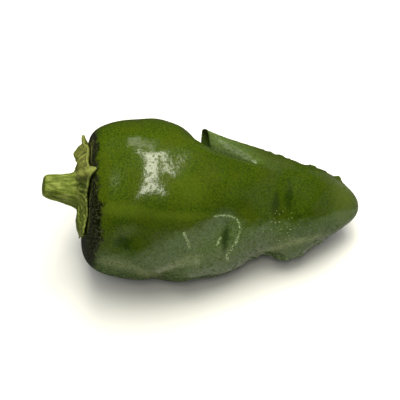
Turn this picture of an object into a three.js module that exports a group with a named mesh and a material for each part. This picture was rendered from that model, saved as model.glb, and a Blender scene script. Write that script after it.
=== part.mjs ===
// A green chilli pepper of the jalapeno type, as picked, lying on its side on a flat surface.
// It is a plump, dented pod with a blunt tip, a thin ribbed calyx on its shoulder and a short cut stem.
// Millimetres, +Z up. The pepper lies along X with its stem at -X, and the side with the deeper dents
// looks towards -Y. The origin is on the surface, under the middle of the whole pepper.
import * as THREE from "three";

// Driving dimensions
const POD_LENGTH = 65.6;
const POD_RADIUS = 19.4;
const CALYX_RADIUS = 10.0; // between its teeth
const STEM_LENGTH = 8.4;
const STEM_RADIUS = 2.75; // just behind the cut end
const REST_TILT = THREE.MathUtils.degToRad(12.5); // the pod is a cone, so its tip lies lower than its stem
const CONTACT_DEPTH = 0.45; // how far the soft wall flattens where it rests
const CLEARANCE = 0.3; // between the calyx and its neighbours

// Mesh fineness
const POD_RINGS = 80;
const POD_SIDES = 72;
const CALYX_SIDES = 90;
const STEM_SIDES = 40;

// Control points of the pod's outline, from the stem end to the tip:
// distance along the pod as a share of its length, radius as a share of its largest.
const POD_OUTLINE = [
  [0.018, 0],
  [0.013, 0.28],
  [0.002, 0.55],
  [0.01, 0.78],
  [0.06, 0.895],
  [0.14, 0.965],
  [0.235, 1.0],
  [0.33, 0.985],
  [0.43, 0.91],
  [0.53, 0.815],
  [0.62, 0.68],
  [0.71, 0.615],
  [0.795, 0.56],
  [0.88, 0.42],
  [0.945, 0.26],
  [0.993, 0.12],
  [1.002, 0],
];

// Dents and swellings of the pod's wall. The angle runs round the pod, from 0 at the top to 90 at the front.
// at: share of the length, height: mm outwards, along and around: half sizes in mm, angle and turn: degrees
const SWELLINGS = [
  { at: 0.57, angle: -42, height: -0.9, along: 2.2, around: 5.0, turn: 0 },
  { at: 0.755, angle: -45, height: -1.2, along: 4.5, around: 8.0, turn: 0 },
  { at: 0.5, angle: 132, height: 0.9, along: 3.6, around: 4.0, turn: 0 },
  { at: 0.14, angle: 76, height: -0.8, along: 3.2, around: 2.6, turn: 0 },
  { at: 0.485, angle: 68, height: -1.5, along: 2.6, around: 4.2, turn: 25 },
  { at: 0.39, angle: 80, height: -0.7, along: 2.8, around: 3.4, turn: -15 },
  { at: 0.285, angle: 120, height: -1.1, along: 2.0, around: 4.5, turn: 10 },
  { at: 0.375, angle: 112, height: 0.7, along: 3.6, around: 3.6, turn: 0 },
  { at: 0.645, angle: 128, height: -1.1, along: 2.4, around: 4.5, turn: -10 },
  { at: 0.74, angle: 122, height: 1.3, along: 3.6, around: 3.4, turn: 0 },
  { at: 0.69, angle: 34, height: -0.6, along: 2.7, around: 6.0, turn: 0 },
  { at: 0.82, angle: 30, height: 0.45, along: 3.8, around: 5.0, turn: 0 },
  { at: 0.0, angle: 74, height: 0.8, along: 3.0, around: 5.0, turn: 0 },
  { at: 0.25, angle: 205, height: 0.5, along: 7.0, around: 5.0, turn: 0 },
  { at: 0.33, angle: 262, height: -1.2, along: 4.5, around: 3.6, turn: 30 },
  { at: 0.56, angle: 285, height: -1.0, along: 3.4, around: 4.0, turn: -20 },
  { at: 0.6, angle: 240, height: 0.7, along: 5.0, around: 4.5, turn: 0 },
];

// The fold across the back: the wall sinks slowly into it from the stem side and climbs steeply out of it,
// to a lip that leans back over the valley. To both sides of its middle the valley bends towards the tip.
const FOLD = {
  share: 0.561, // of the way along the outline, at the middle of the fold
  angle: -40, // degrees round the pod, at the middle of the fold
  depth: 9.4,
  slowSide: 6.7, // half sizes in mm
  steepSide: 0.35, // in the middle of the fold, and where it has grown soft
  softSide: 2.6,
  lean: 8.9, // mm that the lip stands back towards the stem
  lipRise: 2.7,
  lipAt: 1.1, // mm past the valley, in the middle and where it has grown soft
  softLipAt: 3.7,
  lipWidth: 3.2, // how far the lean and the rise reach beyond that
  fullTo: 24, // degrees from its middle to where it starts to fade, and to where it is gone at each end
  frontGoneBy: 50,
  backGoneBy: 84,
  softFrom: 8, // degrees from its middle, between which its edges grow soft
  softTo: 40,
  farSideFrom: 86, // degrees from its middle, between which the mesh's rings stop following the valley
  farSideTo: 149,
  bend: 0.05, // share of the outline, one radian round the pod from its middle
  drawn: 0.16, // share of the outline, to each side, in which the mesh's rings follow the valley
  crowded: 0.7, // share by which the rings lie closer together at the valley, where the edges are sharp
  crowdedOver: 0.14, // share of the outline, to each side, in which they do
};

// Low waves of the wall: height in mm, turns along the pod's length, whole waves round it, start in radians
const SMOOTH_END = 9; // mm of radius, below which the pod's two ends grow smooth
const WAVES = [
  { height: 0.3, along: 0.35, round: 3, start: 0.6 },
  { height: 0.12, along: 3.1, round: 2, start: 2.0 },
  { height: 0.1, along: 4.3, round: -5, start: 4.1 },
  { height: 0.06, along: 7.7, round: 7, start: 1.3 },
];

// The calyx: its teeth by angle round the pod, with their length and how far each curls off the pod, in mm
const TEETH = [
  { angle: -48, length: 3.6, curl: 1.1 },
  { angle: 22, length: 6.0, curl: 0.2 },
  { angle: 98, length: 1.6, curl: 0.1 },
  { angle: 166, length: 1.6, curl: 0.1 },
  { angle: 238, length: 3.4, curl: 0.2 },
];
const LOBE_SHARE = 0.55; // of a tooth's length, the rest is its pointed end
const LOBE_WIDTH = 3.4; // half sizes in mm
const POINT_WIDTH = 1.3;
const RIB_WIDTH = 1.1;
const RIB_HEIGHT = 0.5;
const WRINKLE_HEIGHT = 0.12;
const RIM_LIFT = 0.15; // off the pod, between the teeth
const CALYX_EDGE = 0.6; // thickness at the rim, and in the middle
const CALYX_BODY = 1.7;
const CALYX_LEAN = 0.45; // share by which it is thicker on the stem's side, and thinner opposite
const HUB_FACE = -1.5; // distance along the pod of the calyx's flat middle, which the stem stands on
// Shares of the way from the calyx's middle to its rim: where its flat hub ends, where its ribbed body
// starts, where it begins to thin, and where its rim begins to curl
const HUB_SHARE = 0.51;
const BODY_SHARE = 0.65;
const THIN_SHARE = 0.66;
const CURL_SHARE = 0.84;
// The stem stands off the pod's centre, up and back, and the pod's end follows it up to a radius in mm
const STEM_SHIFT = { angle: -45, distance: 1.5, fullTo: 5, goneBy: 14 };
const STEM_LEAN = 0.6; // and its cut end further still
const CUT_SLANT = 0.3; // mm along, from the middle of the cut to its edge
const BROAD_RIBS = 0.05; // heights of the stem's five broad and eleven fine ribs, as shares of its radius
const FINE_RIBS = 0.02;

const radians = THREE.MathUtils.degToRad;
const smooth = THREE.MathUtils.smoothstep;
const lerp = THREE.MathUtils.lerp;
const FULL_TURN = 2 * Math.PI;

// Direction across the pod at an angle that starts at the top and turns to the front.
const across = (angle) => new THREE.Vector3(0, -Math.sin(angle), Math.cos(angle));

// The smallest turn, with its sign, that takes one angle to another.
const turnBetween = (from, to) => Math.atan2(Math.sin(to - from), Math.cos(to - from));

// Distance along and radius of the smooth outline, a cubic B-spline that meets the axis squarely at its ends.
function outlineAt(share) {
  const last = POD_OUTLINE.length - 1;
  const place = Math.min(share * last, last - 1e-9);
  const first = Math.floor(place);
  const f = place - first;
  const control = (i) => {
    const [at, radius] = POD_OUTLINE[i < 0 ? 1 : i > last ? last - 1 : i];
    return [at * POD_LENGTH, (i < 0 || i > last ? -radius : radius) * POD_RADIUS];
  };
  const weights = [(1 - f) ** 3, 3 * f ** 3 - 6 * f ** 2 + 4, -3 * f ** 3 + 3 * f ** 2 + 3 * f + 1, f ** 3];
  return [0, 1].map((k) => weights.reduce((sum, w, i) => sum + (w / 6) * control(first - 1 + i)[k], 0));
}

// Where the fold's valley lies at an angle, as a share of the way along the outline.
const valleyShare = (angle) => FOLD.share + FOLD.bend * turnBetween(radians(FOLD.angle), angle) ** 2;

// How strong the fold is at an angle, and how soft its edges are, from 0 to 1.
function foldAt(angle) {
  const turn = turnBetween(radians(FOLD.angle), angle);
  const goneBy = turn < 0 ? FOLD.backGoneBy : FOLD.frontGoneBy;
  const strength = 1 - smooth(Math.abs(turn), radians(FOLD.fullTo), radians(goneBy));
  const softness = smooth(Math.abs(turn), radians(FOLD.softFrom), radians(FOLD.softTo));
  return [strength, softness];
}

// How far in mm a point lies past the fold's valley. The pace is the outline's length in mm, as if it went on
// all the way as it does there.
const pastValley = (share, angle, pace) => (share - valleyShare(angle)) * pace;

// How much of the fold's lip there is, from 0 at the valley to 1 at the lip, and fading beyond it.
function lipShare(past, softness) {
  const lipAt = lerp(FOLD.lipAt, FOLD.softLipAt, softness);
  const beyond = Math.max(0, past - lipAt) / FOLD.lipWidth;
  return smooth(past, 0, lipAt) * Math.exp(-0.5 * beyond ** 2);
}

// How far the wall stands out from the smooth outline.
function wallHeight(share, along, radius, angle, pace) {
  let height = 0;
  for (const s of SWELLINGS) {
    const x = along - s.at * POD_LENGTH;
    const y = radius * turnBetween(radians(s.angle), angle);
    const [c, d] = [Math.cos(radians(s.turn)), Math.sin(radians(s.turn))];
    const spread = ((c * x + d * y) / s.along) ** 2 + ((c * y - d * x) / s.around) ** 2;
    height += s.height * Math.exp(-0.5 * spread);
  }
  const [strength, softness] = foldAt(angle);
  const past = pastValley(share, angle, pace);
  const side = past < 0 ? FOLD.slowSide : lerp(FOLD.steepSide, FOLD.softSide, softness);
  height -= FOLD.depth * strength * Math.exp(-0.5 * (past / side) ** 2);
  height += FOLD.lipRise * lipShare(past, softness) * strength;
  for (const w of WAVES) {
    height += w.height * Math.sin((w.along * FULL_TURN * along) / POD_LENGTH + w.round * angle + w.start);
  }
  return height * smooth(radius, 0, SMOOTH_END);
}

// How far the fold's lip leans back towards the stem.
function lipLean(share, angle, pace) {
  const [strength, softness] = foldAt(angle);
  return FOLD.lean * lipShare(pastValley(share, angle, pace), softness) * strength;
}

// A point of the pod's wall, or one that lies off it by a distance.
function podPoint(share, angle, off = 0) {
  const step = 1e-4;
  const [along, radius] = outlineAt(share);
  const [beforeX, beforeR] = outlineAt(Math.max(share - step, 0));
  const [afterX, afterR] = outlineAt(Math.min(share + step, 1));
  const stride = Math.hypot(afterX - beforeX, afterR - beforeR);
  const pace = stride / (2 * step);
  const height = off + wallHeight(share, along, radius, angle, pace);
  const atStem = along < POD_LENGTH / 2 ? 1 - smooth(radius, STEM_SHIFT.fullTo, STEM_SHIFT.goneBy) : 0;
  return across(angle)
    .multiplyScalar(radius + (height * (afterX - beforeX)) / stride)
    .addScaledVector(across(radians(STEM_SHIFT.angle)), STEM_SHIFT.distance * atStem)
    .setX(along - (height * (afterR - beforeR)) / stride - lipLean(share, angle, pace));
}

// The share of the outline at which a ring of the pod's mesh lies. Rings near the fold lie closer together
// and follow its valley, but don't follow it on the far side of the pod.
function ringShare(ring, angle) {
  const away = ring / POD_RINGS - FOLD.share;
  const near = Math.exp(-((away / FOLD.drawn) ** 2));
  const [, softness] = foldAt(angle);
  const crowding = FOLD.crowded * (1 - softness) * Math.exp(-((away / FOLD.crowdedOver) ** 2));
  const round = Math.abs(turnBetween(radians(FOLD.angle), angle));
  const farSide = smooth(round, radians(FOLD.farSideFrom), radians(FOLD.farSideTo));
  return FOLD.share + away * (1 - crowding) + near * (1 - farSide) * (valleyShare(angle) - FOLD.share);
}

// The share of the outline, on the shoulder, that has a radius.
function shoulderShare(radius) {
  let [low, high] = [0, 0.35];
  while (high - low > 1e-6) {
    const middle = (low + high) / 2;
    if (outlineAt(middle)[1] < radius) low = middle;
    else high = middle;
  }
  return low;
}

// Distance round the calyx, at one radius, from the middle of a tooth.
const besideTooth = (tooth, radius, angle) => radius * Math.abs(turnBetween(radians(tooth.angle), angle));

// Radius of the calyx's rim: round, with five broad teeth that end in a point.
function rimRadius(angle) {
  const teeth = TEETH.reduce((sum, tooth) => {
    const away = besideTooth(tooth, CALYX_RADIUS, angle);
    const lobe = Math.exp(-((away / LOBE_WIDTH) ** 2));
    const point = Math.max(0, 1 - away / POINT_WIDTH);
    return sum + tooth.length * (LOBE_SHARE * lobe + (1 - LOBE_SHARE) * point);
  }, 0);
  return CALYX_RADIUS + WRINKLE_HEIGHT * Math.sin(11 * angle) + teeth;
}

// How far the rim curls off the pod, most at its teeth.
function rimCurl(angle) {
  return TEETH.reduce((sum, tooth) => {
    const away = besideTooth(tooth, CALYX_RADIUS, angle);
    return sum + tooth.curl * Math.exp(-((away / POINT_WIDTH) ** 2));
  }, RIM_LIFT);
}

// Thickness of the calyx: thin at the rim, with ribs that run out to the teeth.
function calyxThickness(share, angle) {
  const ribs = TEETH.reduce((most, tooth) => {
    const away = besideTooth(tooth, share * CALYX_RADIUS, angle);
    return Math.max(most, Math.exp(-((away / RIB_WIDTH) ** 2)));
  }, 0);
  const relief = RIB_HEIGHT * ribs + WRINKLE_HEIGHT * Math.sin(19 * angle + 2);
  const shown = smooth(share, HUB_SHARE, BODY_SHARE) * (1 - smooth(share, CURL_SHARE, 1));
  const uneven = 1 + CALYX_LEAN * Math.cos(angle - radians(STEM_SHIFT.angle));
  return uneven * lerp(CALYX_BODY, CALYX_EDGE, smooth(share, THIN_SHARE, 1)) + relief * shown;
}

// Rings of the calyx's outer face, as shares of the way from its middle to its rim
const CALYX_TOP = [0, 0.12, 0.24, 0.34, 0.44, 0.54, 0.64, 0.74, 0.82, 0.9, 0.96, 1];

// A point of the calyx. Its rings run from its middle, over its flat hub, round the rim and back underneath.
function calyxPoint(ring, angle) {
  const rings = 2 * CALYX_TOP.length - 1;
  const upper = ring < CALYX_TOP.length;
  const share = CALYX_TOP[upper ? ring : rings - ring];
  const lift = CLEARANCE + rimCurl(angle) * smooth(share, CURL_SHARE, 1) ** 2;
  const thickness = upper ? calyxThickness(share, angle) : 0;
  const point = podPoint(shoulderShare(share * rimRadius(angle)), angle, lift + thickness);
  const flatness = upper ? 1 - smooth(share, HUB_SHARE, BODY_SHARE) : 0;
  return point.setX(lerp(point.x, HUB_FACE, flatness));
}

// The stem's section from the cut end to the base: distance from the cut end as a share of the length, radius
const STEM_OUTLINE = [
  [0.05, 0],
  [0.045, 0.45],
  [0.0, 0.78],
  [0.03, 0.94],
  [0.1, 1.0],
  [0.25, 1.04],
  [0.42, 1.12],
  [0.6, 1.22],
  [0.76, 1.34],
  [0.9, 1.5],
  [1.0, 1.66],
  [1.0, 0],
];
function stemPoint(ring, angle) {
  const [share, radius] = STEM_OUTLINE[ring];
  const lean = STEM_LEAN * (1 - share) ** 2;
  const slant = CUT_SLANT * radius * Math.cos(angle) * (1 - share);
  const ribs = 1 + BROAD_RIBS * Math.cos(5 * angle + 0.4) + FINE_RIBS * Math.cos(11 * angle + share);
  return across(angle)
    .multiplyScalar(radius * STEM_RADIUS * ribs)
    .addScaledVector(across(radians(STEM_SHIFT.angle)), STEM_SHIFT.distance + lean)
    .setX(HUB_FACE - CLEARANCE - (1 - share) * STEM_LENGTH + slant);
}

// A closed mesh from rings of points that start and end in a single point on the axis.
function ringSolid(rings, sides, pointAt) {
  const points = [pointAt(0, 0)];
  for (let ring = 1; ring < rings; ring++) {
    for (let side = 0; side < sides; side++) points.push(pointAt(ring, (side / sides) * FULL_TURN));
  }
  points.push(pointAt(rings, 0));
  const last = points.length - 1;
  const index = [];
  const at = (ring, side) => 1 + (ring - 1) * sides + (side % sides);
  for (let side = 0; side < sides; side++) {
    index.push(0, at(1, side + 1), at(1, side));
    for (let ring = 1; ring < rings - 1; ring++) {
      const [a, b] = [at(ring, side), at(ring, side + 1)];
      const [c, d] = [at(ring + 1, side), at(ring + 1, side + 1)];
      index.push(a, b, d, a, d, c);
    }
    index.push(last, at(rings - 1, side), at(rings - 1, side + 1));
  }
  const geometry = new THREE.BufferGeometry().setFromPoints(points);
  geometry.setIndex(index);
  return geometry.rotateY(REST_TILT);
}

const podGeometry = ringSolid(POD_RINGS, POD_SIDES, (ring, angle) => podPoint(ringShare(ring, angle), angle));
const calyxGeometry = ringSolid(2 * CALYX_TOP.length - 1, CALYX_SIDES, calyxPoint);
const stemGeometry = ringSolid(STEM_OUTLINE.length - 1, STEM_SIDES, stemPoint);

// The soft wall lies flat on the surface where it rests.
podGeometry.computeBoundingBox();
const floor = podGeometry.boundingBox.min.z + CONTACT_DEPTH;
const podVertices = podGeometry.getAttribute("position");
for (let i = 0; i < podVertices.count; i++) podVertices.setZ(i, Math.max(podVertices.getZ(i), floor));

const PIECES = [
  ["pod", podGeometry, { color: 0x3f5a08, roughness: 0.28 }],
  ["calyx", calyxGeometry, { color: 0x6b7f35, roughness: 0.62 }],
  ["stem", stemGeometry, { color: 0x66801f, roughness: 0.55 }],
];

const pepper = new THREE.Group();
for (const [name, geometry, finish] of PIECES) {
  geometry.computeVertexNormals();
  const mesh = new THREE.Mesh(geometry, new THREE.MeshStandardMaterial({ metalness: 0, ...finish }));
  mesh.name = name;
  pepper.add(mesh);
}

// The origin goes under the middle of the whole pepper.
const bounds = new THREE.Box3().setFromObject(pepper);
const middle = bounds.getCenter(new THREE.Vector3()).setZ(floor);
for (const mesh of pepper.children) mesh.geometry.translate(-middle.x, -middle.y, -middle.z);

export default pepper;
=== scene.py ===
# A green chilli pepper of the jalapeno type, lying on a pale floor under a soft light.
# The pod, calyx and stem here keep the form of the CAD solids that they replace, and add finer detail.
# Their shapes are worked out in mm along and round the pod, as in the CAD source, and placed in the row
# frame in metres. Angles round the pod start at the top and turn to the front.
import math

import bpy
import numpy as np
from mathutils import Matrix, Vector, noise


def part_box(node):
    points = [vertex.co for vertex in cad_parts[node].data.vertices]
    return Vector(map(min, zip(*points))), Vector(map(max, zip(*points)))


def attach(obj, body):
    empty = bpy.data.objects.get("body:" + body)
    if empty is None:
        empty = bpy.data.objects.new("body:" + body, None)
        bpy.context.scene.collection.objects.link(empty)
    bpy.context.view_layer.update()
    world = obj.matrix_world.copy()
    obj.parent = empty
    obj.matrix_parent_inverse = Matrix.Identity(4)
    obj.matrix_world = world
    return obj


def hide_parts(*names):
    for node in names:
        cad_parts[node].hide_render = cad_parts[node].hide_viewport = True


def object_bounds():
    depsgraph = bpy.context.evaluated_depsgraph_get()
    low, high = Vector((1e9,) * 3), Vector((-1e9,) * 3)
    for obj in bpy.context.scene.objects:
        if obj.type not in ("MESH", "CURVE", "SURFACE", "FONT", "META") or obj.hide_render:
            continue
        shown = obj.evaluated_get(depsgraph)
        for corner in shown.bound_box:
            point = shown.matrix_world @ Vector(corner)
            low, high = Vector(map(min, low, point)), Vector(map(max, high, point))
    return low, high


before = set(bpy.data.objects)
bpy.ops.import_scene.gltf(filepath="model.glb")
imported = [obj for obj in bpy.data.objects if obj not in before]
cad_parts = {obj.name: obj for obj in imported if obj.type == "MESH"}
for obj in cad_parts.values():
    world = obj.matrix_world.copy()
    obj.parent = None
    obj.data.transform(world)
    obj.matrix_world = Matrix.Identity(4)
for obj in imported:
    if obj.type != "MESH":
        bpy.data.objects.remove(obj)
cad_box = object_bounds()

MM = 0.001

# Driving dimensions in mm, the same as in the CAD source
POD_LENGTH = 65.6
POD_RADIUS = 19.4
CALYX_RADIUS = 10.0
STEM_LENGTH = 8.4
STEM_RADIUS = 2.75
REST_TILT = math.radians(12.5)
# How deep in the floor the pod's lowest point would be, before its underside is flattened onto it
CONTACT_DEPTH = 0.45

# Mesh fineness, with the CAD mesh's own. The calyx has rings on its top, along its rim and underneath.
CAD_RINGS = 80
CAD_SIDES = 72
POD_RINGS = 290
POD_SIDES = 320
CALYX_TOP_RINGS = 34
CALYX_RIM_RINGS = 14
CALYX_UNDER_RINGS = 20
CALYX_SIDES = 420
STEM_RINGS = 72
STEM_SIDES = 180

# Control points of the pod's outline, from the stem end to the tip: shares of its length and largest radius
POD_OUTLINE = [
    (0.018, 0),
    (0.013, 0.28),
    (0.002, 0.55),
    (0.01, 0.78),
    (0.06, 0.895),
    (0.14, 0.965),
    (0.235, 1.0),
    (0.33, 0.985),
    (0.43, 0.91),
    (0.53, 0.815),
    (0.62, 0.68),
    (0.71, 0.615),
    (0.795, 0.56),
    (0.88, 0.42),
    (0.945, 0.26),
    (0.993, 0.12),
    (1.002, 0),
]

# Dents and swellings: share of the length, degrees round, height, half sizes along and around, turn
SWELLINGS = [
    (0.57, -42, -0.9, 2.2, 5.0, 0),
    (0.755, -45, -1.2, 4.5, 8.0, 0),
    (0.5, 132, 0.9, 3.6, 4.0, 0),
    (0.14, 76, -0.8, 3.2, 2.6, 0),
    (0.485, 68, -1.5, 2.6, 4.2, 25),
    (0.39, 80, -0.7, 2.8, 3.4, -15),
    (0.285, 120, -1.1, 2.0, 4.5, 10),
    (0.375, 112, 0.7, 3.6, 3.6, 0),
    (0.645, 128, -1.1, 2.4, 4.5, -10),
    (0.74, 122, 1.3, 3.6, 3.4, 0),
    (0.69, 34, -0.6, 2.7, 6.0, 0),
    (0.82, 30, 0.45, 3.8, 5.0, 0),
    (0.0, 74, 0.8, 3.0, 5.0, 0),
    (0.25, 205, 0.5, 7.0, 5.0, 0),
    (0.33, 262, -1.2, 4.5, 3.6, 30),
    (0.56, 285, -1.0, 3.4, 4.0, -20),
    (0.6, 240, 0.7, 5.0, 4.5, 0),
]

# The fold across the back, whose lip leans over its valley. Its edges grow soft towards its ends.
FOLD_SHARE = 0.561
FOLD_ANGLE = math.radians(-40)
FOLD_DEPTH = 9.4
FOLD_SLOW_SIDE = 6.7
FOLD_STEEP_SIDE = 0.35
FOLD_SOFT_SIDE = 2.6
LIP_LEAN = 8.9
LIP_RISE = 2.7
LIP_AT = 1.1
SOFT_LIP_AT = 3.7
LIP_WIDTH = 3.2
FOLD_FULL_TO = math.radians(24)
FOLD_GONE_IN_FRONT = math.radians(50)
FOLD_GONE_BEHIND = math.radians(84)
SOFT_FROM = math.radians(8)
SOFT_TO = math.radians(40)
FAR_SIDE_FROM = math.radians(86)
FAR_SIDE_TO = math.radians(149)
FOLD_BEND = 0.05
RINGS_DRAWN = 0.16
RINGS_CROWDED = 0.7
RINGS_CROWDED_OVER = 0.14

# Low waves of the wall: height in mm, turns along, whole waves round, start in radians
WAVES = [
    (0.3, 0.35, 3, 0.6),
    (0.12, 3.1, 2, 2.0),
    (0.1, 4.3, -5, 4.1),
    (0.06, 7.7, 7, 1.3),
]
SMOOTH_END = 9
# The outline's direction is measured over this share of it to either side
OUTLINE_STEP = 1e-4
# The shoulder, which carries the calyx, ends at this share of the outline
SHOULDER_END = 0.35
SHOULDER_SAMPLES = 3000

# The calyx's teeth: degrees round the pod, length and curl in mm
TEETH = [
    (-48, 3.6, 1.1),
    (22, 5.4, 0.2),
    (98, 1.6, 0.1),
    (166, 1.6, 0.1),
    (238, 3.4, 0.2),
]
LOBE_SHARE = 0.55
LOBE_WIDTH = 3.4
POINT_WIDTH = 1.3
POINT_BLUNT = 0.4
# Small waves of the calyx's rim and of its curl: height in mm, waves round, start in radians
RIM_WAVES = [
    (0.12, 11, 0),
    (0.1, 29, 1),
    (0.06, 53, 0),
]
CURL = 0.15
CURL_WAVE = (0.12, 7, 2)
LEAST_CURL = 0.02
RIM_RAGGED = 0.3
RIB_WIDTH = 0.9
RIB_HEIGHT = 0.5
STREAK_HEIGHT = 0.42
WRINKLE_HEIGHT = 0.4
CALYX_BODY = 1.95
CALYX_EDGE = 0.4
CALYX_THINNEST = 0.3
CALYX_LEAN = 0.45
CALYX_CLEARANCE = 0.05
HUB_FACE = -1.5
HUB_RELIEF = 0.25
# Shares of the way from the calyx's middle to its rim
HUB_SHARE = 0.51
BODY_SHARE = 0.65
THIN_SHARE = 0.66
CURL_SHARE = 0.84
TOP_RINGS_TO = 0.8
RIM_RINGS_FROM = 0.82
HUB_RELIEF_OVER = (0.2, 0.5)
RELIEF_FROM = HUB_SHARE - 0.1
RAGGED_OVER = (0.6, 1)
RIM_PAINT_OVER = (0.9, 0.98)
TOP_PAINT_OVER = (0.5, 0.75)
# The calyx is browner round this angle, by the cosine of the turn from it
TOP_PAINT_ANGLE = math.radians(-15)
TOP_PAINT_COSINES = (0.6, 0.98)
# The streaks of the calyx and the stem: how fine they are round the piece and along it
CALYX_STREAKS = (9, 2.2)
STEM_STREAKS = (5, 1.6)
STEM_STREAKS_PER_POINT = 0.3

STEM_SHIFT_ANGLE = math.radians(-45)
STEM_SHIFT = 1.5
SHIFT_FULL_TO = 5
SHIFT_GONE_BY = 14
STEM_LEAN = 0.6
CUT_SLANT = 0.3
# The gap that the CAD source leaves between the calyx and the stem. The stem here closes it.
CLEARANCE = 0.3
# The stem's outline from the cut end to the calyx: shares of its length and radius
STEM_OUTLINE = [
    (0.06, 0),
    (0.055, 0.45),
    (0.045, 0.7),
    (0.07, 0.86),
    (0.14, 0.98),
    (0.25, 1.04),
    (0.42, 1.12),
    (0.6, 1.22),
    (0.76, 1.34),
    (0.9, 1.52),
    (1.0, 1.74),
    (1.06, 1.95),
    (1.06, 0),
]
# The cut face ends between these points of the outline
CUT_EDGE = (2.2, 3.4)
# Ribs of the stem: height as a share of its radius, ribs round, start in radians, twist over its length
STEM_RIBS = [
    (0.05, 5, 0.4, 0),
    (0.02, 11, 0, 1),
]
STEM_RELIEF = 0.06

# Colours painted on the skin, by mm along the pod and degrees round it. Lines run through their places.
# First, thin pale lines.
PALE_LINES = [
    [(21.3, 69), (21.9, 74), (22.5, 77), (23.2, 83)],
    [(28.2, 58), (30, 57), (32.2, 58), (33.7, 61), (34.6, 66), (34.9, 72), (34.2, 83)],
    [(34.2, 83), (33.2, 90), (32.3, 95), (33, 100)],
    [(30.3, 78), (29.7, 84)],
]
PALE_LINE_RAGGED = 0.12
# Pale bands, a painted reflection of the floor along the lower edge: places and half width in mm
PALE_REFLECTION_BANDS = [
    ([(4.9, 105), (7.2, 103), (9.4, 102.5), (12.4, 107), (14.9, 112), (17, 115)], 1.8),
    ([(17, 115), (18.4, 105.5), (20.2, 99), (22.3, 95.5), (25.1, 95)], 1.6),
    ([(42.2, 106), (44.1, 101), (46.3, 95), (48.6, 93)], 1.1),
    ([(48.6, 93), (51.1, 92), (53.6, 92), (55.4, 92.5)], 0.9),
]
BAND_EDGE = (0.1, 1.6)
BAND_RAGGED = 0.5
# Patches: mm along, degrees round, half sizes in mm along and around, strength. The deep patches are painted
# shade
# and painted dark reflections: in dents, round the bulge near the tip and over broad stretches of the skin.
PAINTED_SHADE_PATCHES = [
    (8.2, 82, 2.8, 2.0, 0.8),
    (31.6, 78, 0.9, 3.6, 0.9),
    (43.2, 45, 1.4, 3.2, 0.8),
    (46.4, 35, 1.2, 4.6, 0.8),
    (44.7, 56, 0.9, 0.8, 0.7),
    (52.5, 52, 2.6, 1.3, 0.4),
    (54.8, 38, 0.9, 2.6, 0.4),
    (48.5, 60, 2.0, 0.8, 0.6),
    (36.0, 40, 4.0, 4.5, 0.3),
    (49.0, 36, 13.0, 14.0, 0.3),
    (13.0, 70, 9.0, 8.0, 0.25),
    (29.0, 50, 9.0, 6.0, 0.15),
    (32.0, 6, 7.0, 6.0, 0.25),
]
# The second lighter patch, along a lengthwise groove, is a painted highlight.
LIGHT_PATCHES = [
    (8.0, 55, 6.0, 1.8, 0.45),
    (19.0, 57, 8.0, 1.2, 0.4),
    (9.0, 70, 2.0, 1.2, 0.3),
    (22.0, 38, 4.0, 4.0, 0.3),
    (60.5, 40, 3.2, 6.0, 0.45),
]
PATCH_EDGE = (0.35, 1.45)
PATCH_RAGGED = 0.35
# Where the small pale flecks lie: mm along, degrees round, half sizes in mm
FLECK_PLACE = (44.5, 76, 4.5, 5.5)
FLECK_EDGE = (0.6, 1.2)
# Where the painted reflection of the pale table starts on the lower front: mm along, degrees round. It ends
# underneath.
REFLECTION_BORDER = [
    (0, 96),
    (8, 92),
    (14, 86),
    (17.7, 73),
    (19.4, 68),
    (21.7, 66),
    (24.3, 67),
    (26.4, 63),
    (28.2, 58),
    (30, 55),
    (32.5, 55),
    (34, 59),
    (36.5, 66),
    (40, 64),
    (48, 66),
    (56, 60),
    (66, 50),
]
REFLECTION_EDGE = (-5, 7)
REFLECTION_RAGGED = 5
REFLECTION_END = (140, 165)
# The dark ring beside the calyx: degrees round the pod, the ring's radius in mm. It stays on the shoulder.
RING_RADII = [
    (-180, 15.2),
    (-90, 15.4),
    (-10, 15.5),
    (24, 15.0),
    (40, 15.6),
    (52, 16.2),
    (100, 16.5),
    (140, 16.0),
]
RING_SOFT = 0.5
RING_UNEVEN = 0.5
RING_RAGGED = 0.7
RING_END = (5, 9)
# The dull face of the fold's lip, which also carries a painted pale reflection: it starts and ends at these
# mm past the valley, is full where the fold has this strength, and grows over these turns from the fold's
# middle
CREASE_START = -2.5
CREASE_END = (3, 9)
CREASE_FULL_AT = 0.5
CREASE_TURNS = (math.radians(-30), math.radians(8))
CREASE_RELIEF = 0.12

# The skin's fine relief, which is gone at the ends, by radius in mm
SKIN_RELIEF = 0.006
SKIN_RELIEF_OVER = (1, 8)
# The small scallops of the skin near the tip: from and to in mm along, from and to in degrees round
SCALLOPED = [
    (40, 63, -66, -24),
    (36, 60, 108, 152),
]
SCALLOP_HEIGHT = 0.85
SCALLOPS_GROW_OVER = 4
SCALLOPS_FADE_OVER = 3
SCALLOPS_TURN_OVER = 15
# A low hollow of the shoulder, beside where the window shows: mm along, degrees round, half sizes in mm
HOLLOW = (4.8, 23, 3.0, 8.0)
HOLLOW_DEPTH = 0.6
# How softly the skin flattens onto the floor, in mm
FLOOR_SOFTNESS = 0.12


def smooth(x, low, high):
    """0 below low, 1 above high, smooth between."""
    t = np.clip((x - low) / (high - low), 0, 1)
    return t * t * (3 - 2 * t)


def lerp(a, b, t):
    return a + (b - a) * t


def bell(x):
    return np.exp(-0.5 * x**2)


def turn_between(start, angle):
    """The smallest signed turn from one angle to another, in radians."""
    return np.arctan2(np.sin(angle - start), np.cos(angle - start))


def degrees_round(angle):
    """Degrees from the top, between -180 and 180."""
    return np.degrees(turn_between(0, angle))


def across(angle):
    """Direction across the pod at an angle that starts at the top and turns to the front."""
    angle = np.asarray(angle, float)
    return np.stack([np.zeros_like(angle), -np.sin(angle), np.cos(angle)], axis=-1)


def grid(shares, sides):
    """Shares for the rings, and angles for the sides, as two arrays."""
    angles = np.linspace(0, 2 * math.pi, sides, endpoint=False)
    return np.meshgrid(shares, angles, indexing="ij")


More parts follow.
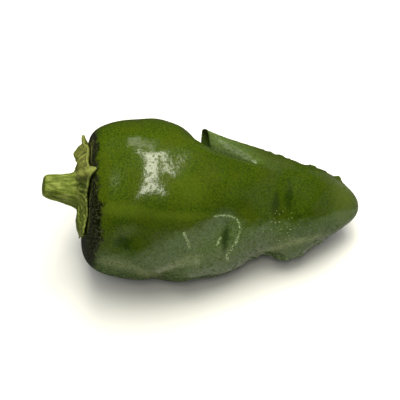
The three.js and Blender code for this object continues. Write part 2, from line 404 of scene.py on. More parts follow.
def noise_at(points, size, octaves, seed):
    """Soft noise between about -1 and 1, with details of a size in mm."""
    spots = points.reshape(-1, 3) / size + (seed, 2.7 * seed, -1.3 * seed)
    values = [noise.fractal(Vector(spot), 1.0, 2.0, octaves) for spot in spots]
    return np.array(values).reshape(points.shape[:-1])


def streak_noise(angle, fineness, along, size, seed):
    """Noise that is drawn out along a piece, into streaks. Their fineness is the one round the piece."""
    spots = np.stack([fineness * np.cos(angle), fineness * np.sin(angle), along], axis=-1)
    return noise_at(spots, size, octaves=4, seed=seed)


# The pod's wall


def outline(share):
    """Distance along and radius of the pod's smooth outline, by a cubic B-spline."""
    last = len(POD_OUTLINE) - 1
    points = np.array(POD_OUTLINE, float)
    mirrored = (1, -1)
    points = np.vstack([points[1] * mirrored, points, points[last - 1] * mirrored]) * (POD_LENGTH, POD_RADIUS)
    place = np.clip(share * last, 0, last - 1e-9)
    first = np.floor(place).astype(int)
    f = place - first
    weights = [(1 - f) ** 3, 3 * f**3 - 6 * f**2 + 4, -3 * f**3 + 3 * f**2 + 3 * f + 1, f**3]
    spot = sum(w[..., None] / 6 * points[first + i] for i, w in enumerate(weights))
    return spot[..., 0], spot[..., 1]


def outline_run(share):
    """The outline's direction, as parts along and outward, and its pace in mm for a whole share."""
    before_x, before_r = outline(np.maximum(share - OUTLINE_STEP, 0))
    after_x, after_r = outline(np.minimum(share + OUTLINE_STEP, 1))
    stride = np.hypot(after_x - before_x, after_r - before_r)
    return (after_x - before_x) / stride, (after_r - before_r) / stride, stride / (2 * OUTLINE_STEP)


def valley_share(angle):
    """Where the fold's valley lies, as a share of the way along the outline."""
    return FOLD_SHARE + FOLD_BEND * turn_between(FOLD_ANGLE, angle) ** 2


def past_valley(share, angle, pace):
    """Distance past the fold's valley, in mm along the outline."""
    return (share - valley_share(angle)) * pace


def fold_at(angle):
    """How strong the fold is at an angle, and how soft its edges are, from 0 to 1."""
    turn = turn_between(FOLD_ANGLE, angle)
    gone_by = np.where(turn < 0, FOLD_GONE_BEHIND, FOLD_GONE_IN_FRONT)
    strength = 1 - smooth(np.abs(turn), FOLD_FULL_TO, gone_by)
    return strength, smooth(np.abs(turn), SOFT_FROM, SOFT_TO)


def lip_share(past, softness):
    """How much of the fold's lip there is, at a distance past its valley in mm."""
    lip_at = lerp(LIP_AT, SOFT_LIP_AT, softness)
    return smooth(past, 0, lip_at) * bell(np.maximum(0, past - lip_at) / LIP_WIDTH)


def wall_height(along, radius, angle, past):
    """How far the wall stands out from the smooth outline, in mm."""
    height = np.zeros_like(along)
    for at, middle, tall, half_along, half_around, turn in SWELLINGS:
        x = along - at * POD_LENGTH
        y = radius * turn_between(math.radians(middle), angle)
        c, s = math.cos(math.radians(turn)), math.sin(math.radians(turn))
        height += tall * bell(np.hypot((c * x + s * y) / half_along, (c * y - s * x) / half_around))
    strength, softness = fold_at(angle)
    side = np.where(past < 0, FOLD_SLOW_SIDE, lerp(FOLD_STEEP_SIDE, FOLD_SOFT_SIDE, softness))
    height -= FOLD_DEPTH * strength * bell(past / side)
    height += LIP_RISE * lip_share(past, softness) * strength
    for tall, turns, waves, start in WAVES:
        height += tall * np.sin(turns * 2 * math.pi * along / POD_LENGTH + waves * angle + start)
    return height * smooth(radius, 0, SMOOTH_END)


def pod_point(share, angle, off=0.0):
    """A point of the pod's wall, or one that lies off it by a distance, in mm along and across the pod."""
    along, radius = outline(share)
    forward, outward, pace = outline_run(share)
    past = past_valley(share, angle, pace)
    height = off + wall_height(along, radius, angle, past)
    strength, softness = fold_at(angle)
    lean = LIP_LEAN * lip_share(past, softness) * strength
    at_stem = (1 - smooth(radius, SHIFT_FULL_TO, SHIFT_GONE_BY)) * (along < POD_LENGTH / 2)
    point = across(angle) * (radius + height * forward)[..., None]
    point += across(STEM_SHIFT_ANGLE) * (STEM_SHIFT * at_stem)[..., None]
    point[..., 0] = along - height * outward - lean
    return point


def ring_share(share, angle):
    """Draws the rings near the fold closer together and along its valley, as in the CAD mesh."""
    away = share - FOLD_SHARE
    near = np.exp(-((away / RINGS_DRAWN) ** 2))
    crowding = RINGS_CROWDED * (1 - fold_at(angle)[1]) * np.exp(-((away / RINGS_CROWDED_OVER) ** 2))
    far_side = smooth(np.abs(turn_between(FOLD_ANGLE, angle)), FAR_SIDE_FROM, FAR_SIDE_TO)
    return FOLD_SHARE + away * (1 - crowding) + near * (1 - far_side) * (valley_share(angle) - FOLD_SHARE)


# From the pod's own frame to the row frame


def turned(point):
    """The point after the pod has been tilted, tip down, as it rests."""
    x, z = point[..., 0], point[..., 2]
    c, s = math.cos(REST_TILT), math.sin(REST_TILT)
    return np.stack([x * c + z * s, point[..., 1], z * c - x * s], axis=-1)


def find_offset():
    """The shift in mm that brings a pod with the CAD mesh's points to where the CAD pod lies."""
    share, angle = grid(np.linspace(0, 1, CAD_RINGS + 1), CAD_SIDES)
    points = turned(pod_point(ring_share(share, angle), angle)).reshape(-1, 3)
    cad_low, cad_high = (np.array(corner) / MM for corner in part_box("pod"))
    shift = (cad_low + cad_high) / 2 - (points.min(axis=0) + points.max(axis=0)) / 2
    shift[2] = -(points[:, 2].min() + CONTACT_DEPTH)
    return shift


OFFSET = find_offset()


def to_row(points):
    """Points of the pod's own frame, in mm, as places in the row frame, in metres."""
    return (turned(points) + OFFSET) * MM


def ring_object(name, points, layers):
    """A closed smooth skin over rings of points. Its first and last ring close in one point each.
    Layers are named values of the points, which the materials read."""
    rings, sides = points.shape[0] - 1, points.shape[1]

    def listed(values):
        inner = values[1:rings].reshape((-1,) + values.shape[2:])
        return np.concatenate([values[0, :1], inner, values[rings, :1]])

    vertices = listed(points)
    first = 1 + np.arange(rings - 1)[:, None] * sides
    side = np.arange(sides)
    beside = (side + 1) % sides
    quads = [first[:-1] + side, first[:-1] + beside, first[1:] + beside, first[1:] + side]
    quads = np.stack(quads, axis=-1).reshape(-1, 4)
    last = len(vertices) - 1
    start_fan = np.stack([np.zeros(sides, int), 1 + beside, 1 + side], axis=-1)
    end_fan = np.stack([np.full(sides, last), first[-1] + side, first[-1] + beside], axis=-1)
    mesh = bpy.data.meshes.new(name)
    mesh.from_pydata(vertices.tolist(), [], start_fan.tolist() + quads.tolist() + end_fan.tolist())
    mesh.shade_smooth()
    for layer, values in layers.items():
        numbers = listed(values).astype(np.float32)
        mesh.attributes.new(layer, "FLOAT", "POINT").data.foreach_set("value", numbers)
    piece = bpy.data.objects.new(name, mesh)
    bpy.context.scene.collection.objects.link(piece)
    return piece


# Painted marks, painted reflections and painted shade, and relief of the skin


def line_distance(along, angle, radius, places):
    """Distance in mm over the skin to a line through places given in mm along and degrees round."""
    nearest = np.full(along.shape, np.inf)
    for (start_x, start_a), (end_x, end_a) in zip(places, places[1:]):
        x = along - start_x
        y = radius * turn_between(math.radians(start_a), angle)
        step_x = end_x - start_x
        step_y = radius * math.radians(end_a - start_a)
        t = np.clip((x * step_x + y * step_y) / (step_x**2 + step_y**2), 0, 1)
        nearest = np.minimum(nearest, np.hypot(x - t * step_x, y - t * step_y))
    return nearest


def spread_from(along, angle, radius, at, middle, half_along, half_around):
    """Distance over the skin from a place, as a share of the half sizes round it."""
    x = (along - at) / half_along
    y = radius * turn_between(math.radians(middle), angle) / half_around
    return np.hypot(x, y)


def patches(along, angle, radius, places, ragged):
    """Soft patches, each 1 times its strength in its middle. Ragged noise breaks up their edges."""
    shown = np.zeros_like(along)
    for *place, strength in places:
        spread = spread_from(along, angle, radius, *place)
        shown = np.maximum(shown, strength * (1 - smooth(spread + PATCH_RAGGED * ragged, *PATCH_EDGE)))
    return shown


def pale_line_distance(along, angle, radius):
    """Distance in mm over the skin to the nearest pale line."""
    return np.min([line_distance(along, angle, radius, places) for places in PALE_LINES], axis=0)


def pale_reflection_bands(along, angle, radius, ragged):
    shown = np.zeros_like(along)
    for places, width in PALE_REFLECTION_BANDS:
        distance = line_distance(along, angle, radius, places) / width
        shown = np.maximum(shown, 1 - smooth(distance + BAND_RAGGED * ragged, *BAND_EDGE))
    return shown


def low_painted_reflection(along, angle, ragged):
    """A painted reflection of the pale table on the lower front, from its ragged border to the underside."""
    degrees = degrees_round(angle)
    past_border = degrees - np.interp(along, *zip(*REFLECTION_BORDER)) + REFLECTION_RAGGED * ragged
    return smooth(past_border, *REFLECTION_EDGE) * (1 - smooth(degrees, *REFLECTION_END))


def dark_ring(along, angle, radius, coarse, ragged):
    """The dark ring beside the calyx."""
    edge = np.interp(degrees_round(angle), *zip(*RING_RADII)) + RING_UNEVEN * coarse + RING_RAGGED * ragged
    return (1 - smooth(radius, edge - RING_SOFT, edge + RING_SOFT)) * (1 - smooth(along, *RING_END))


def dull_crease(share, angle):
    """The fold's valley and the face of its lip, on the side that the photo shows."""
    past = past_valley(share, angle, outline_run(share)[2])
    lengthwise = smooth(past, CREASE_START, 0) * (1 - smooth(past, *CREASE_END))
    in_front = smooth(turn_between(FOLD_ANGLE, angle), *CREASE_TURNS)
    return smooth(fold_at(angle)[0], 0, CREASE_FULL_AT) * lengthwise * in_front


def scalloped(along, angle):
    """Where the skin has small scallops, from 0 to 1."""
    degrees = degrees_round(angle)
    shown = np.zeros_like(along)
    for start, stop, lower, upper in SCALLOPED:
        inside = smooth(along, start, start + SCALLOPS_GROW_OVER)
        inside = inside * (1 - smooth(along, stop - SCALLOPS_FADE_OVER, stop))
        inside = inside * smooth(degrees, lower, lower + SCALLOPS_TURN_OVER)
        inside = inside * (1 - smooth(degrees, upper - SCALLOPS_TURN_OVER, upper))
        shown = np.maximum(shown, inside)
    return shown


def over_floor(height):
    """Heights in metres, where all that would lie under the floor is flattened onto it."""
    return (height + np.sqrt(height**2 + (FLOOR_SOFTNESS * MM) ** 2)) / 2


def make_pod():
    share, angle = grid(np.linspace(0, 1, POD_RINGS + 1), POD_SIDES)
    share = ring_share(share, angle)
    points = pod_point(share, angle)
    along, radius = points[..., 0], outline(share)[1]
    coarse = noise_at(points, size=3.2, octaves=3, seed=1.0)
    ragged = noise_at(points, size=1.3, octaves=2, seed=5.0)
    crease = dull_crease(share, angle)
    layers = {
        "crease": crease,
        "ring": dark_ring(along, angle, radius, coarse, ragged),
        "pale_line": pale_line_distance(along, angle, radius) + PALE_LINE_RAGGED * ragged,
        "pale": pale_reflection_bands(along, angle, radius, ragged),
        "painted_reflection": low_painted_reflection(along, angle, ragged),
        "deep": patches(along, angle, radius, PAINTED_SHADE_PATCHES, ragged),
        "light": patches(along, angle, radius, LIGHT_PATCHES, ragged),
        "fleck": 1 - smooth(spread_from(along, angle, radius, *FLECK_PLACE), *FLECK_EDGE),
    }
    relief = SKIN_RELIEF * coarse * smooth(radius, *SKIN_RELIEF_OVER)
    relief += SCALLOP_HEIGHT * scalloped(along, angle) * noise_at(points, size=2.1, octaves=2, seed=7.0)
    relief += CREASE_RELIEF * crease * noise_at(points, size=1.3, octaves=3, seed=2.0)
    relief -= HOLLOW_DEPTH * bell(spread_from(along, angle, radius, *HOLLOW))
    placed = to_row(pod_point(share, angle, relief))
    placed[..., 2] = over_floor(placed[..., 2])
    return ring_object("pod_skin", placed, layers)


# Calyx and stem


def shoulder_share(radius):
    """The share of the outline, on the shoulder, that has a radius."""
    shares = np.linspace(0, SHOULDER_END, SHOULDER_SAMPLES)
    return np.interp(radius, outline(shares)[1], shares)


def beside_tooth(middle, radius, angle):
    """Distance in mm round the calyx from the middle of a tooth."""
    return radius * np.abs(turn_between(math.radians(middle), angle))


def rim_radius(angle):
    """The calyx's radius, with lobes that end in the points of its teeth."""
    radius = CALYX_RADIUS + sum(tall * np.sin(waves * angle + start) for tall, waves, start in RIM_WAVES)
    for middle, length, _ in TEETH:
        away = beside_tooth(middle, CALYX_RADIUS, angle)
        lobe = np.exp(-((away / LOBE_WIDTH) ** 2))
        point = np.maximum(0, 1 - np.hypot(away / POINT_WIDTH, POINT_BLUNT)) / (1 - POINT_BLUNT)
        radius = radius + length * (LOBE_SHARE * lobe + (1 - LOBE_SHARE) * point)
    return radius


def rim_curl(angle):
    """How far the calyx's rim curls up from the pod, in mm."""
    tall, waves, start = CURL_WAVE
    curl = CURL + tall * np.sin(waves * angle + start)
    for middle, _, rise in TEETH:
        curl = curl + rise * np.exp(-((beside_tooth(middle, CALYX_RADIUS, angle) / POINT_WIDTH) ** 2))
    return np.maximum(curl, LEAST_CURL)


def calyx_ribs(share, angle):
    """Ribs that run from the stem to the teeth, from 0 to 1."""
    ribs = np.zeros_like(angle)
    for middle, _, _ in TEETH:
        away = beside_tooth(middle, share * CALYX_RADIUS, angle)
        ribs = np.maximum(ribs, np.exp(-((away / RIB_WIDTH) ** 2)))
    return ribs


def make_calyx():
    top = np.linspace(0, TOP_RINGS_TO, CALYX_TOP_RINGS)
    rim = np.linspace(RIM_RINGS_FROM, 1, CALYX_RIM_RINGS)
    under = np.linspace(1, 0, CALYX_UNDER_RINGS)
    share, angle = grid(np.concatenate([top, rim, under]), CALYX_SIDES)
    is_upper = np.zeros_like(share)
    is_upper[: len(top) + len(rim)] = 1
    streaks_round, streaks_along = CALYX_STREAKS
    streak = streak_noise(angle, streaks_round, streaks_along * share, size=1.0, seed=3.0)
    wrinkle = streak_noise(angle, streaks_round, streaks_along * share, size=0.5, seed=8.0)
    ribs = calyx_ribs(share, angle)
    relief = RIB_HEIGHT * ribs + STREAK_HEIGHT * streak + WRINKLE_HEIGHT * wrinkle
    shown = smooth(share, RELIEF_FROM, BODY_SHARE) * (1 - smooth(share, CURL_SHARE, 1))
    uneven = 1 + CALYX_LEAN * np.cos(angle - STEM_SHIFT_ANGLE)
    thickness = uneven * lerp(CALYX_BODY, CALYX_EDGE, smooth(share, THIN_SHARE, 1)) + relief * shown
    thickness = np.maximum(thickness, CALYX_THINNEST)
    lift = CALYX_CLEARANCE + rim_curl(angle) * smooth(share, CURL_SHARE, 1) ** 2
    ragged = RIM_RAGGED * noise_at(streaks_round * across(angle), size=1.0, octaves=3, seed=4.0)
    radius = share * (rim_radius(angle) + ragged * smooth(share, *RAGGED_OVER))
    points = pod_point(shoulder_share(radius), angle, lift + thickness * is_upper)
    flatness = is_upper * (1 - smooth(share, HUB_SHARE, BODY_SHARE))
    hub = HUB_FACE - HUB_RELIEF * streak * smooth(share, *HUB_RELIEF_OVER)
    points[..., 0] = lerp(points[..., 0], hub, flatness)
    layers = {
        "rim": smooth(share, *RIM_PAINT_OVER) * is_upper,
        "streak": streak,
        "top": smooth(np.cos(angle - TOP_PAINT_ANGLE), *TOP_PAINT_COSINES) * smooth(share, *TOP_PAINT_OVER),
    }
    return ring_object("calyx_skin", to_row(points), layers)


def make_stem():
    last = len(STEM_OUTLINE) - 1
    place, angle = grid(np.linspace(0, last, STEM_RINGS + 1), STEM_SIDES)
    outline_shares, outline_radii = zip(*STEM_OUTLINE)
    share = np.interp(place, range(last + 1), outline_shares)
    radius = np.interp(place, range(last + 1), outline_radii)
    streaks_round, streaks_along = STEM_STREAKS
    along = streaks_along * share + STEM_STREAKS_PER_POINT * place
    streak = streak_noise(angle, streaks_round, along, size=1.0, seed=9.0)
    lean = STEM_LEAN * (1 - share) ** 2
    slant = CUT_SLANT * radius * np.cos(angle) * (1 - share)
    ribs = 1 + STEM_RELIEF * streak
    for tall, count, start, twist in STEM_RIBS:
        ribs += tall * np.cos(count * angle + start + twist * share)
    points = across(angle) * (radius * STEM_RADIUS * ribs)[..., None]
    points += across(STEM_SHIFT_ANGLE) * (STEM_SHIFT + lean)[..., None]
    points[..., 0] = HUB_FACE - (1 - share) * (STEM_LENGTH + CLEARANCE) + slant
    layers = {"cut": 1 - smooth(place, *CUT_EDGE), "streak": streak}
    return ring_object("stem_skin", to_row(points), layers)


# Materials


class Nodes:
    """Short hand for building a node tree."""

    def __init__(self, tree):
        self.tree = tree

    def node(self, kind, **settings):
        made = self.tree.nodes.new(kind)
        for key, value in settings.items():
            setattr(made, key, value)
        return made

    def feed(self, socket, value):
        if isinstance(value, bpy.types.NodeSocket):
            self.tree.links.new(value, socket)
        else:
            socket.default_value = value

    def math(self, operation, a, b):
        made = self.node("ShaderNodeMath", operation=operation)
        self.feed(made.inputs[0], a)
        self.feed(made.inputs[1], b)
        return made.outputs[0]

    def times(self, a, b):
        return self.math("MULTIPLY", a, b)

    def stretch(self, value, low, high, to_low=0.0, to_high=1.0, kind="LINEAR"):
        """A value between low and high brought to between two others, and held there."""
        made = self.node("ShaderNodeMapRange", interpolation_type=kind)
        self.feed(made.inputs["Value"], value)
        for socket, number in zip(("From Min", "From Max", "To Min", "To Max"), (low, high, to_low, to_high)):
            made.inputs[socket].default_value = number
        return made.outputs["Result"]

    def mix(self, share, a, b, blend="MIX"):
        made = self.node("ShaderNodeMix", data_type="RGBA", blend_type=blend)
        self.feed(made.inputs["Factor"], share)
        self.feed(made.inputs["A"], a)
        self.feed(made.inputs["B"], b)
        return made.outputs["Result"]

    def ramp(self, value, stops):
        """Grey values at places between 0 and 1."""
        made = self.node("ShaderNodeValToRGB")
        self.feed(made.inputs["Fac"], value)
        ramp = made.color_ramp
        while len(ramp.elements) < len(stops):
            ramp.elements.new(0.5)
        for element, (place, level) in zip(ramp.elements, stops):
            element.position = place
            element.color = grey(level)
        return made.outputs["Color"]


class Skin(Nodes):
    """A material whose patterns lie in the object's own space."""

    def __init__(self, name):
        self.material = bpy.data.materials.new(name)
        self.material.use_nodes = True
        super().__init__(self.material.node_tree)
        self.shader = self.tree.nodes["Principled BSDF"]
        self.place = self.node("ShaderNodeTexCoord").outputs["Object"]

    def set(self, **values):
        """Sets or links the shader's sockets. A low line in a name stands for a space."""
        for socket, value in values.items():
            self.feed(self.shader.inputs[socket.replace("_", " ")], value)

    def layer(self, name):
        return self.node("ShaderNodeAttribute", attribute_name=name).outputs["Fac"]

    def noise(self, size_mm, detail=3.0, roughness=0.5):
        made = self.node("ShaderNodeTexNoise")
        self.feed(made.inputs["Vector"], self.place)
        made.inputs["Scale"].default_value = 1 / (size_mm * MM)
        made.inputs["Detail"].default_value = detail
        made.inputs["Roughness"].default_value = roughness
        return made.outputs["Fac"]

    def cells(self, size_mm, feature="SMOOTH_F1"):
        made = self.node("ShaderNodeTexVoronoi", feature=feature)
        self.feed(made.inputs["Vector"], self.place)
        made.inputs["Scale"].default_value = 1 / (size_mm * MM)
        return made.outputs["Distance"]

    def bump(self, height, depth_mm, below=None):
        made = self.node("ShaderNodeBump")
        made.inputs["Strength"].default_value = 1.0
        made.inputs["Distance"].default_value = depth_mm * MM
        self.feed(made.inputs["Height"], height)
        if below is not None:
            self.feed(made.inputs["Normal"], below)
        return made.outputs["Normal"]


def grey(level):
    return (level, level, level, 1.0)


def colour(red, green, blue):
    """A colour as seen on a screen, 0 to 255, as linear light for a shader."""
    linear = [((c / 255 + 0.055) / 1.055) ** 2.4 if c > 10.3 else c / 255 / 12.92 for c in (red, green, blue)]
    return (*linear, 1.0)


POD_DARK = colour(30, 45, 3)
POD_GREEN = colour(54, 69, 5)
POD_OLIVE = colour(54, 62, 6)
POD_LIGHT = colour(70, 84, 18)
POD_PAINTED_SHADE = colour(14, 30, 3)
REFLECTION_GREY = colour(90, 106, 80)
CREASE_REFLECTION_GREY = colour(96, 112, 78)
BAND_REFLECTION_GREY = colour(108, 114, 80)
FLECK_GREY = colour(132, 140, 98)
PALE_LINE_GREY = colour(132, 146, 108)
RING_BLACK = colour(2, 2, 1)
RING_GREY = colour(48, 50, 33)

CALYX_DARK = colour(38, 54, 6)
CALYX_LIGHT = colour(118, 130, 46)
CALYX_GROOVE = colour(38, 52, 8)
CALYX_STREAK = colour(122, 130, 60)
CALYX_BROWN = colour(116, 104, 58)
CALYX_BLOTCH = colour(34, 44, 8)
CALYX_RIM = colour(122, 128, 66)

STEM_DARK = colour(58, 70, 12)
STEM_LIGHT = colour(90, 102, 32)
STEM_STREAK = colour(112, 120, 58)
STEM_GROOVE = colour(50, 64, 6)
STEM_CUT = colour(60, 70, 12)


def pod_material():
    m = Skin("pod_skin")
    fine = m.noise(0.36, detail=2.0, roughness=0.6)
    broad = m.noise(5.0, detail=2.0)
    speckle = m.noise(0.42, detail=2.0, roughness=0.7)
    green = m.mix(m.stretch(fine, 0.36, 0.64), POD_DARK, POD_GREEN)
    green = m.mix(m.stretch(broad, 0.4, 0.7, 0.0, 0.4), green, POD_OLIVE)
    # Lighter patches; the one along a lengthwise groove is a painted highlight
    green = m.mix(m.layer("light"), green, POD_LIGHT)
    # Painted reflection of the pale table over the lower front
    green = m.mix(m.times(m.layer("painted_reflection"), m.stretch(speckle, 0.35, 0.68, 0.06, 0.42)), green, REFLECTION_GREY)
    # Painted shade and painted dark reflections
    green = m.mix(m.times(m.layer("deep"), 0.9), green, POD_PAINTED_SHADE)
    # Painted pale reflection in the fold's valley and on its lip
    green = m.mix(m.times(m.layer("crease"), m.stretch(speckle, 0.35, 0.68, 0.08, 0.42)), green, CREASE_REFLECTION_GREY)
    # Painted reflection of the floor in bands along the lower edge
    green = m.mix(m.times(m.layer("pale"), m.stretch(speckle, 0.35, 0.65, 0.1, 0.6)), green, BAND_REFLECTION_GREY)
    flecks = m.stretch(m.cells(0.8, feature="F1"), 0.08, 0.2, 1.0, 0.0)
    green = m.mix(m.times(flecks, m.layer("fleck")), green, FLECK_GREY)
    pale_line = m.stretch(m.layer("pale_line"), 0.1, 0.42, 1.0, 0.0)
    green = m.mix(m.times(pale_line, m.stretch(speckle, 0.42, 0.6, 0.0, 0.9)), green, PALE_LINE_GREY)
    blotches = m.noise(0.6, detail=3.0, roughness=0.8)
    ring = m.mix(m.stretch(blotches, 0.48, 0.62), RING_BLACK, RING_GREY)
    green = m.mix(m.times(m.layer("ring"), 0.92), green, ring)
    m.set(Base_Color=green, Roughness=0.6, Specular_IOR_Level=0.0, Coat_Roughness=0.15, Coat_IOR=1.45)
    peel = m.bump(m.cells(0.75), 0.02)
    peel = m.bump(m.noise(0.3, detail=2.0, roughness=0.6), 0.008, below=peel)
    dull_spots = m.stretch(m.noise(0.75, detail=1.0), 0.55, 0.63, 1.0, 0.3)
    dull_fold = m.stretch(m.layer("crease"), 0.0, 0.8, 1.0, 0.15)
    m.set(Normal=peel, Coat_Normal=peel, Coat_Weight=m.times(dull_spots, dull_fold))
    return m.material


def calyx_material():
    m = Skin("calyx_skin")
    fine = m.noise(0.42, detail=4.0, roughness=0.7)
    broad = m.noise(1.5, detail=4.0, roughness=0.65)
    streak = m.layer("streak")
    skin = m.mix(m.stretch(fine, 0.36, 0.64), CALYX_DARK, CALYX_LIGHT)
    skin = m.mix(m.stretch(streak, -0.5, 0.4, 0.75, 0.0), skin, CALYX_GROOVE)
    skin = m.mix(m.stretch(streak, 0.1, 0.6, 0.0, 0.8), skin, CALYX_STREAK)
    skin = m.mix(m.times(m.layer("top"), 0.25), skin, CALYX_BROWN)
    skin = m.mix(m.stretch(broad, 0.52, 0.64, 0.0, 0.7), skin, CALYX_BLOTCH)
    skin = m.mix(m.times(m.layer("rim"), 0.5), skin, CALYX_RIM)
    wrinkles = m.bump(m.noise(0.5, detail=4.0, roughness=0.7), 0.3)
    m.set(Base_Color=skin, Roughness=0.65, Specular_IOR_Level=0.12, Normal=wrinkles)
    return m.material


def stem_material():
    m = Skin("stem_skin")
    fine = m.noise(0.45, detail=4.0, roughness=0.7)
    streak = m.layer("streak")
    skin = m.mix(m.stretch(fine, 0.34, 0.66), STEM_DARK, STEM_LIGHT)
    skin = m.mix(m.stretch(streak, 0.0, 0.5, 0.0, 0.8), skin, STEM_STREAK)
    skin = m.mix(m.stretch(streak, -0.5, -0.1, 0.6, 0.0), skin, STEM_GROOVE)
    skin = m.mix(m.times(m.layer("cut"), 0.6), skin, STEM_CUT)
    grain = m.bump(m.noise(0.35, detail=4.0, roughness=0.65), 0.08)
    m.set(Base_Color=skin, Roughness=0.6, Specular_IOR_Level=0.12, Normal=grain)
    return m.material


PIECES = [
    ("pod", make_pod, pod_material),
    ("calyx", make_calyx, calyx_material),
    ("stem", make_stem, stem_material),
]
for node_name, make, material in PIECES:
    piece = make()
    piece.data.materials.append(material())
    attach(piece, "root")
    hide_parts(node_name)


# Floor, light and camera

FLOOR_SIZE = 6.0
FLOOR_GREY = 0.5

# Soft lights in the shape of a window's panes, over the place on the pod that shows the window, in metres
WARM = (1.0, 0.98, 0.82)
HIGHLIGHT_AT = (-0.01, -0.007, 0.037)
PANE_HEIGHT = 0.6
# The panes' edges to the left, right, near and far, as shares of their height over that place, and radiance
PANES = [
    ("window_main", (-0.145, 0.28, -0.56, -0.02), 16.0),
    ("window_high", (-0.07, 0.28, -0.02, 0.44), 16.0),
    ("window_top", (0.28, 0.5, 0.26, 0.44), 14.0),
    ("window_side", (0.4, 0.55, -0.28, 0.26), 14.0),
    ("window_near", (-0.16, 0.24, -1.02, -0.64), 16.0),
    ("window_far", (-0.26, 0.18, 0.6, 1.35), 2.8),
]

# Greys of the table and of the wall in the gloss, by share of the way round from behind, over the left,
# the front and the right
TABLE_GREYS = [
    (0.0, 0.03),
    (0.22, 0.06),
    (0.33, 0.18),
    (0.45, 0.34),
    (0.485, 0.78),
    (0.66, 0.78),
    (0.7, 0.48),
    (0.91, 0.45),
    (0.95, 0.06),
]
WALL_GREYS = [
    (0.0, 0.02),
    (0.63, 0.01),
    (0.69, 0.28),
    (0.9, 0.3),
    (0.94, 0.03),
]
# Heights of a direction, over which the table gives way to the wall, and the wall to the ceiling
TABLE_EDGE = (-0.44, -0.06)
WALL_EDGE = (0.26, 0.55)
# The ceiling is lit overhead, toward the far right
CEILING_GREY = 0.2
CEILING_RISE = (0.55, 0.85)
CEILING_TURN = (-0.05, 0.4)

# Soft light on matt surfaces: its strength from below, and from a sky that grows brighter to the back
LOW_LIGHT = 0.42
SKY_IN_FRONT = 0.42
SKY_BEHIND = 1.2
SKY_RISE = (-0.2, 0.8)
SKY_TURN = (-0.6, 0.8)
# The grey that the camera sees past the floor
BACKDROP = 0.95

# The photo's view. Distances are in metres, the size of a pixel at the pepper and the sensor in mm.
VIEW_ELEVATION = math.radians(45)
VIEW_ROLL = math.radians(-6.5)
VIEW_DISTANCE = 0.45
VIEW_DROP = 0.0019
VIEW_PIXELS = 400
VIEW_PIXEL_SIZE = 0.235
SENSOR_WIDTH = 36


def make_floor():
    """A plain pale floor. The gloss of the pepper sees the surroundings of make_world in its place."""
    half = FLOOR_SIZE / 2
    corners = [(-half, -half, 0), (half, -half, 0), (half, half, 0), (-half, half, 0)]
    mesh = bpy.data.meshes.new("floor")
    mesh.from_pydata(corners, [], [(0, 1, 2, 3)])
    floor = bpy.data.objects.new("floor", mesh)
    bpy.context.scene.collection.objects.link(floor)
    paint = Skin("floor_paint")
    paint.set(Base_Color=grey(FLOOR_GREY), Roughness=0.9, Specular_IOR_Level=0.1)
    mesh.materials.append(paint.material)
    floor.visible_glossy = False


def make_pane(name, left, right, near, far, radiance):
    """A soft light that shines straight down."""
    light = bpy.data.lights.new(name, "AREA")
    light.shape = "RECTANGLE"
    light.size = (right - left) * PANE_HEIGHT
    light.size_y = (far - near) * PANE_HEIGHT
    light.energy = radiance * math.pi * light.size * light.size_y
    light.color = WARM
    lamp = bpy.data.objects.new(name, light)
    middle = Vector(((left + right) / 2, (near + far) / 2, 1))
    lamp.location = Vector(HIGHLIGHT_AT) + middle * PANE_HEIGHT
    bpy.context.scene.collection.objects.link(lamp)


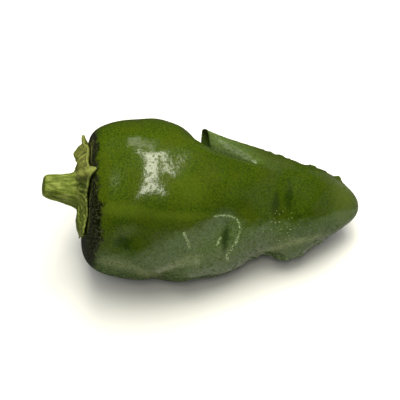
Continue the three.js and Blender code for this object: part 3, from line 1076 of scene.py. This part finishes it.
def make_world():
    """The surroundings. Matt surfaces get soft light, most from above and behind. The gloss sees a pale table
    in front, which is darker to the left and behind, a grey wall on the right and a dim ceiling, all warm."""
    world = bpy.data.worlds.new("studio")
    world.use_nodes = True
    bpy.context.scene.world = world
    w = Nodes(world.node_tree)
    direction = w.node("ShaderNodeTexCoord").outputs["Generated"]
    split = w.node("ShaderNodeSeparateXYZ")
    w.feed(split.inputs[0], direction)
    to_right, to_back, up = (split.outputs[axis] for axis in "XYZ")
    turn = w.stretch(w.math("ARCTAN2", to_right, w.times(to_back, -1.0)), -math.pi, math.pi)
    table = w.ramp(turn, TABLE_GREYS)
    wall = w.ramp(turn, WALL_GREYS)
    on_table = w.stretch(up, *TABLE_EDGE, 1.0, 0.0, kind="SMOOTHSTEP")
    on_wall = w.stretch(up, *WALL_EDGE, 1.0, 0.0, kind="SMOOTHSTEP")
    to_far_right = w.math("ADD", to_right, to_back)
    overhead = w.times(w.stretch(up, *CEILING_RISE), w.stretch(to_far_right, *CEILING_TURN))
    glossy = w.mix(on_wall, w.times(overhead, CEILING_GREY), wall)
    glossy = w.mix(on_table, glossy, table)
    glossy = w.mix(1.0, glossy, (*WARM, 1), blend="MULTIPLY")
    high = w.stretch(up, *SKY_RISE, kind="SMOOTHSTEP")
    behind = w.stretch(to_back, *SKY_TURN, kind="SMOOTHSTEP")
    sky = w.mix(behind, grey(SKY_IN_FRONT), grey(SKY_BEHIND))
    matt = w.mix(high, grey(LOW_LIGHT), sky)
    path = w.node("ShaderNodeLightPath")
    seen = w.mix(path.outputs["Is Glossy Ray"], matt, glossy)
    seen = w.mix(path.outputs["Is Camera Ray"], seen, grey(BACKDROP))
    w.feed(w.tree.nodes["Background"].inputs["Color"], seen)


def make_camera():
    """The camera looks down on the pepper as in the photo, a little rolled, and aims below its middle."""
    back = Vector((0, -math.cos(VIEW_ELEVATION), math.sin(VIEW_ELEVATION)))
    level = Vector((1, 0, 0))
    upright = back.cross(level)
    right = math.cos(VIEW_ROLL) * level + math.sin(VIEW_ROLL) * upright
    up = math.cos(VIEW_ROLL) * upright - math.sin(VIEW_ROLL) * level
    target = (cad_box[0] + cad_box[1]) / 2 - up * VIEW_DROP
    data = bpy.data.cameras.new("camera")
    data.sensor_width = SENSOR_WIDTH
    data.lens = SENSOR_WIDTH * VIEW_DISTANCE / (VIEW_PIXELS * VIEW_PIXEL_SIZE * MM)
    camera = bpy.data.objects.new("camera", data)
    turn = Matrix((right, up, back)).transposed().to_4x4()
    camera.matrix_world = Matrix.Translation(target + back * VIEW_DISTANCE) @ turn
    bpy.context.scene.collection.objects.link(camera)
    bpy.context.scene.camera = camera


make_floor()
for name, edges, radiance in PANES:
    make_pane(name, *edges, radiance)
make_world()
make_camera()
bpy.context.scene.view_settings.view_transform = "Standard"
